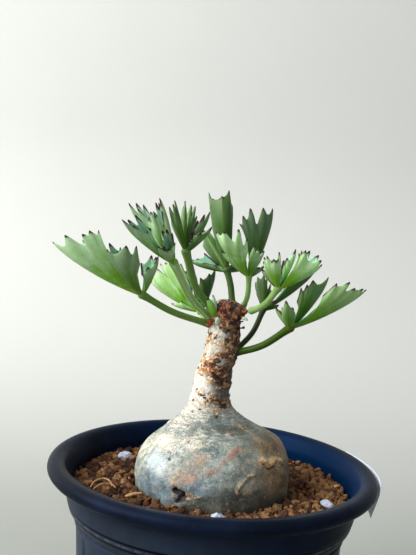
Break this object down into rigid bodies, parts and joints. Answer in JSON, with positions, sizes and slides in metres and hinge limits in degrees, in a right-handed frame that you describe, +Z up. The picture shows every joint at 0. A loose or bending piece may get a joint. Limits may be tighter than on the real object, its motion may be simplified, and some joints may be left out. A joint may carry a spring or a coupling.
{
  "type": "potted caudex succulent",
  "caption": "Round plastic nursery pot of granular soil with a smooth swollen caudex, a short leaning flaky stem and a crown of folded, toothed leaves",
  "frame": {"origin": "centre of the pot's flat base, on the surface that it stands on", "axes": "+Z up through the pot and the caudex, -Y toward the front that the picture shows, +X to the right as seen from the front"},
  "size_m": [0.1059, 0.105, 0.1809],
  "materials": {
    "pot": "injection-moulded blue-black plastic, satin, with a rolled lip and plain grooves",
    "soil": "rounded orange-brown clay granules 3 to 5 mm across with dark gaps",
    "caudex": "smooth grey-green to cream skin with tan scars; rust-brown flaking bark on the stem",
    "leaf": "succulent blade, waxy blue-green inner face, mid green outer face, pale midrib, dark red-brown tooth tips",
    "shoot": "young yellow-green scales with reddish tips",
    "pumice": "rough porous bluish-white stone",
    "tag": "thin blank satin sticker, bare of any print"
  },
  "bodies": {
    "root": {"pot": "pot", "soil": "soil", "caudex": "caudex", "pumice_1": "pumice", "pumice_2": "pumice", "pumice_3": "pumice", "leaf_a": "leaf", "leaf_b": "leaf", "leaf_c": "leaf", "leaf_d": "leaf", "leaf_e": "leaf", "leaf_f": "leaf", "leaf_g": "leaf", "leaf_h": "leaf", "leaf_i": "leaf", "bud_left": "shoot", "bud_front": "shoot", "bud_right": "shoot", "tag": "tag"}
  },
  "joints": []
}
